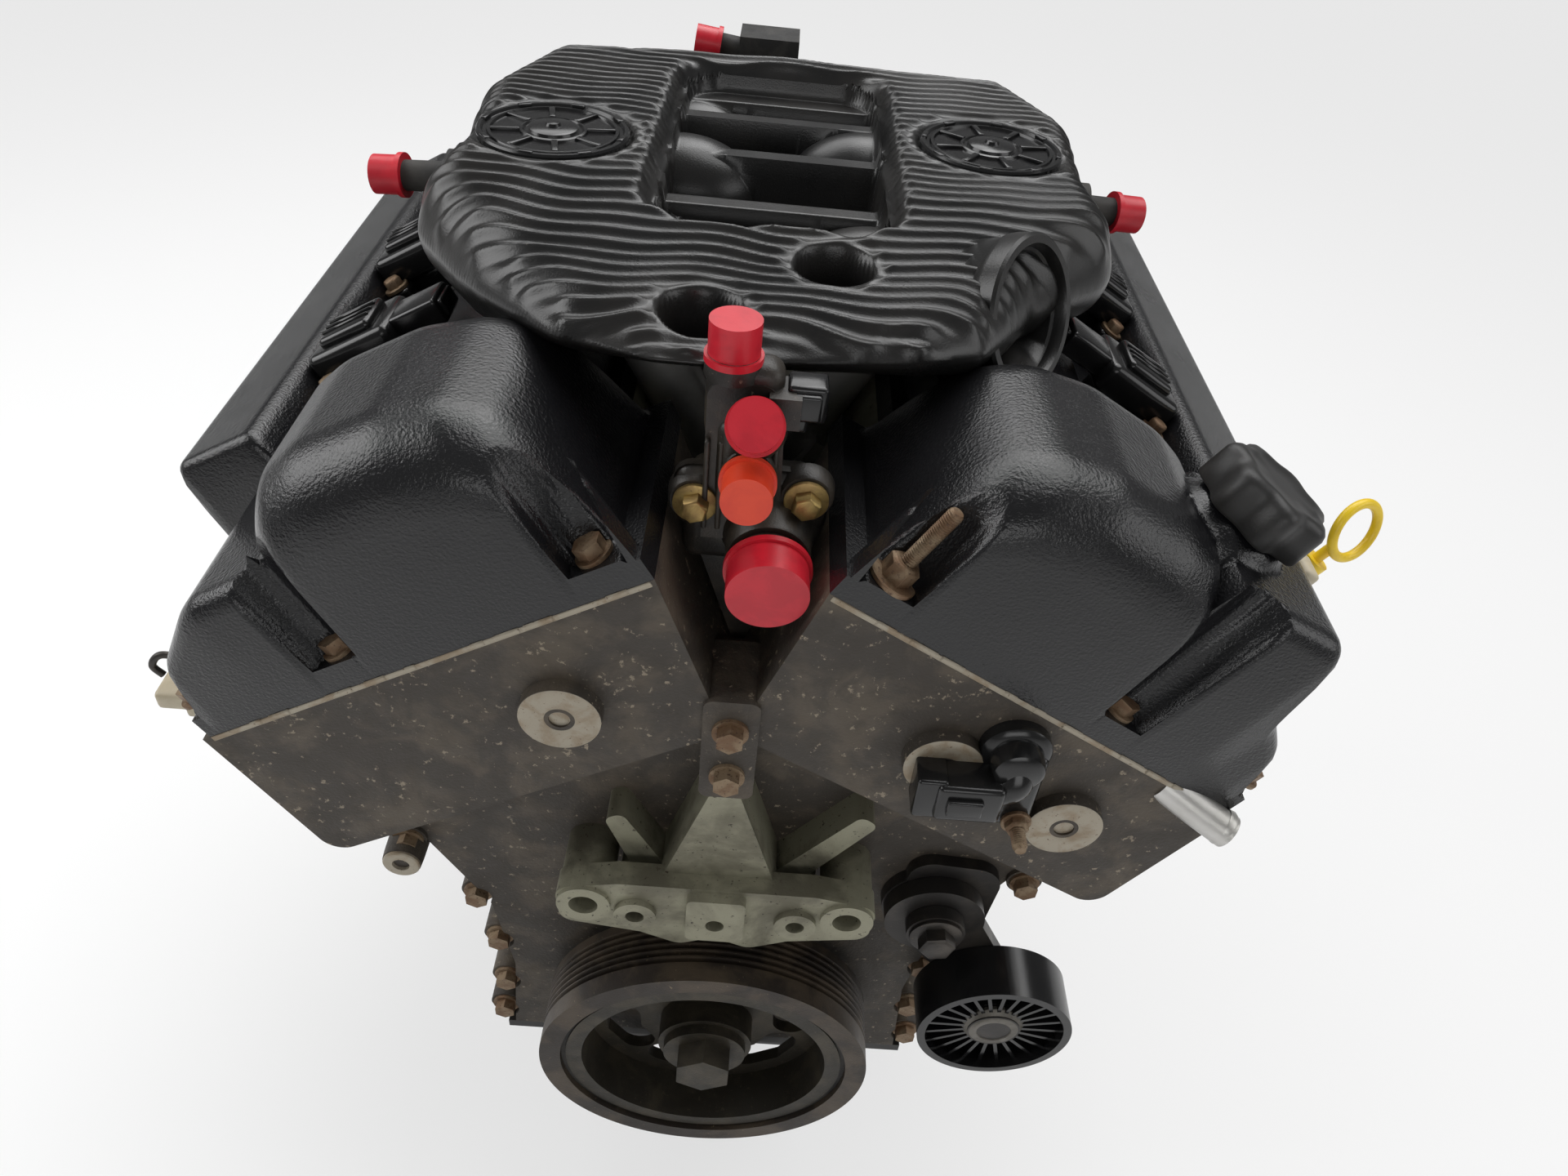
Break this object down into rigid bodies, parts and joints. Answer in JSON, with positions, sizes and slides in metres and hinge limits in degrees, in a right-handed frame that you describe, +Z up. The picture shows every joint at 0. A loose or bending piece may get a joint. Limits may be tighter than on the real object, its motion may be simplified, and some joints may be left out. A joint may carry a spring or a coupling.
{
  "type": "v6 engine",
  "caption": "Complete car petrol engine with two banks at sixty degrees, four overhead camshafts, chain drive, belt damper, tensioner and a black intake manifold.",
  "frame": {"origin": "centre of the crankshaft's rear flange face", "axes": "+X to the right seen from the belt end, +Y along the crankshaft towards the gearbox, +Z up"},
  "size_m": [0.5121, 0.464, 0.5713],
  "materials": {
    "block_iron": "cast, machined joint faces",
    "cast_alloy": "sand-cast, weathered",
    "grimy_alloy": "die-cast, oil stained",
    "machined_steel": "machined",
    "dark_steel": "heat treated",
    "bright_alloy": "machined",
    "bearing_metal": "plated shell",
    "gasket": "coated sheet",
    "cover_black": "crackle textured",
    "manifold_black": "ribbed, satin",
    "plug_black": "smooth",
    "rubber_black": "matte",
    "damper_iron": "rust filmed",
    "hub_iron": "machined, dulled",
    "pan_steel": "pressed, black",
    "screw_steel": "zinc, rust filmed",
    "cap_red": "smooth",
    "cap_orange": "smooth",
    "handle_yellow": "smooth",
    "guide_nylon": "smooth",
    "ceramic": "plug shell"
  },
  "bodies": {
    "engine": {"engine_block": "block_iron", "cylinder_liners": "dark_steel", "main_bearing_caps": "block_iron", "main_bearing_shells": "bearing_metal", "pistons": "bright_alloy", "piston_rings": "dark_steel", "wrist_pins": "machined_steel", "connecting_rods": "machined_steel", "right_cylinder_head": "cast_alloy", "left_cylinder_head": "cast_alloy", "head_gaskets": "gasket", "camshaft_caps": "bright_alloy", "valves": "machined_steel", "valve_tappets": "dark_steel", "valve_springs": "dark_steel", "spark_plug_tubes": "bright_alloy", "spark_plugs": "ceramic", "right_valve_cover": "cover_black", "left_valve_cover": "cover_black", "timing_chains": "dark_steel", "water_pump_housing": "cast_alloy", "oil_pump": "cast_alloy", "chain_guides": "guide_nylon", "timing_cover": "grimy_alloy", "tensioner_base": "cast_alloy", "mount_bracket": "cast_alloy", "oil_pan": "pan_steel", "rear_seal_retainer": "cast_alloy", "intake_manifold": "manifold_black", "manifold_plugs": "plug_black", "intake_runners": "bright_alloy", "ignition_coils": "plug_black", "coolant_outlet": "cast_alloy", "hose_fittings": "rubber_black", "dipstick_tube": "dark_steel", "flange_screws": "screw_steel", "cam_sensor": "plug_black"},
    "crank": {"crankshaft": "machined_steel", "crank_sprocket": "dark_steel", "rod_bearing_shells": "bearing_metal", "damper_hub": "hub_iron", "damper_rubber": "rubber_black", "damper_ring": "damper_iron", "crank_bolt": "screw_steel"},
    "right_intake_cam": {"right_intake_camshaft": "dark_steel"},
    "right_exhaust_cam": {"right_exhaust_camshaft": "dark_steel"},
    "left_intake_cam": {"left_intake_camshaft": "dark_steel"},
    "left_exhaust_cam": {"left_exhaust_camshaft": "dark_steel"},
    "water_pump": {"water_pump_rotor": "machined_steel"},
    "tensioner": {"tensioner_arm": "grimy_alloy"},
    "idler_pulley": {"tensioner_pulley": "plug_black"},
    "oil_filler": {"oil_filler_cap": "plug_black"},
    "dipstick_handle": {"dipstick": "handle_yellow"},
    "outlet_top_cap_body": {"outlet_top_cap": "cap_red"},
    "outlet_upper_cap_body": {"outlet_upper_cap": "cap_red"},
    "outlet_middle_cap_body": {"outlet_middle_cap": "cap_orange"},
    "outlet_large_cap_body": {"outlet_large_cap": "cap_red"},
    "rear_elbow_cap_body": {"rear_elbow_cap": "cap_red"},
    "left_fitting_cap_body": {"left_fitting_cap": "cap_red"},
    "right_fitting_cap_body": {"right_fitting_cap": "cap_red"}
  },
  "joints": [
    {"name": "crank_turn", "type": "hinge", "parent": "engine", "child": "crank", "pos_m": [0, -0.2, 0], "axis": [0, 1, 0], "continuous": true, "deforming": ["connecting_rods"]},
    {"name": "right_intake_cam_turn", "type": "hinge", "parent": "engine", "child": "right_intake_cam", "pos_m": [0.1067, -0.2, 0.28481], "axis": [0, 1, 0], "continuous": true, "deforming": ["valves", "valve_tappets", "valve_springs"]},
    {"name": "right_exhaust_cam_turn", "type": "hinge", "parent": "engine", "child": "right_exhaust_cam", "pos_m": [0.18291, -0.2, 0.24081], "axis": [0, 1, 0], "continuous": true},
    {"name": "left_intake_cam_turn", "type": "hinge", "parent": "engine", "child": "left_intake_cam", "pos_m": [-0.1067, -0.2, 0.28481], "axis": [0, 1, 0], "continuous": true},
    {"name": "left_exhaust_cam_turn", "type": "hinge", "parent": "engine", "child": "left_exhaust_cam", "pos_m": [-0.18291, -0.2, 0.24081], "axis": [0, 1, 0], "continuous": true},
    {"name": "water_pump_turn", "type": "hinge", "parent": "engine", "child": "water_pump", "pos_m": [0, -0.37, 0.152], "axis": [0, 1, 0], "continuous": true},
    {"name": "tensioner_swing", "type": "hinge", "parent": "engine", "child": "tensioner", "pos_m": [0.105, -0.422, 0.095], "axis": [0, -1, 0], "range_deg": [0, 20], "stiffness_Nm_per_rad": 30, "springref_deg": -8.59},
    {"name": "idler_turn", "type": "hinge", "parent": "tensioner", "child": "idler_pulley", "pos_m": [0.142, -0.44, 0.041], "axis": [0, 1, 0], "continuous": true},
    {"name": "filler_turn", "type": "hinge", "parent": "engine", "child": "oil_filler", "pos_m": [0.1855, -0.392, 0.32129], "axis": [0.5, 0, 0.866], "range_deg": [0, 90]},
    {"name": "dipstick_pull", "type": "slide", "parent": "engine", "child": "dipstick_handle", "axis": [0.4996, -0.0389, 0.8654], "range_m": [0, 0.15]},
    {"name": "outlet_top_cap_pull", "type": "slide", "parent": "engine", "child": "outlet_top_cap_body", "axis": [0, 0, 1], "range_m": [0, 0.02]},
    {"name": "outlet_upper_cap_pull", "type": "slide", "parent": "engine", "child": "outlet_upper_cap_body", "axis": [0, -0.8115, 0.5843], "range_m": [0, 0.02]},
    {"name": "outlet_middle_cap_pull", "type": "slide", "parent": "engine", "child": "outlet_middle_cap_body", "axis": [0, -0.9943, 0.1065], "range_m": [0, 0.02]},
    {"name": "outlet_large_cap_pull", "type": "slide", "parent": "engine", "child": "outlet_large_cap_body", "axis": [0.0263, -0.9983, -0.0525], "range_m": [0, 0.02]},
    {"name": "rear_elbow_cap_pull", "type": "slide", "parent": "engine", "child": "rear_elbow_cap_body", "axis": [-0.9934, 0, 0.1146], "range_m": [0, 0.02]},
    {"name": "left_fitting_cap_pull", "type": "slide", "parent": "engine", "child": "left_fitting_cap_body", "axis": [-0.9931, 0.0828, -0.0828], "range_m": [0, 0.02]},
    {"name": "right_fitting_cap_pull", "type": "slide", "parent": "engine", "child": "right_fitting_cap_body", "axis": [0.9781, 0.1863, -0.0931], "range_m": [0, 0.02]}
  ],
  "couplings": [
    {"joint": "right_intake_cam_turn", "follows": "crank_turn", "ratio": 0.5},
    {"joint": "right_exhaust_cam_turn", "follows": "crank_turn", "ratio": 0.5},
    {"joint": "left_intake_cam_turn", "follows": "crank_turn", "ratio": 0.5},
    {"joint": "left_exhaust_cam_turn", "follows": "crank_turn", "ratio": 0.5},
    {"joint": "water_pump_turn", "follows": "crank_turn", "ratio": -1.0625}
  ]
}
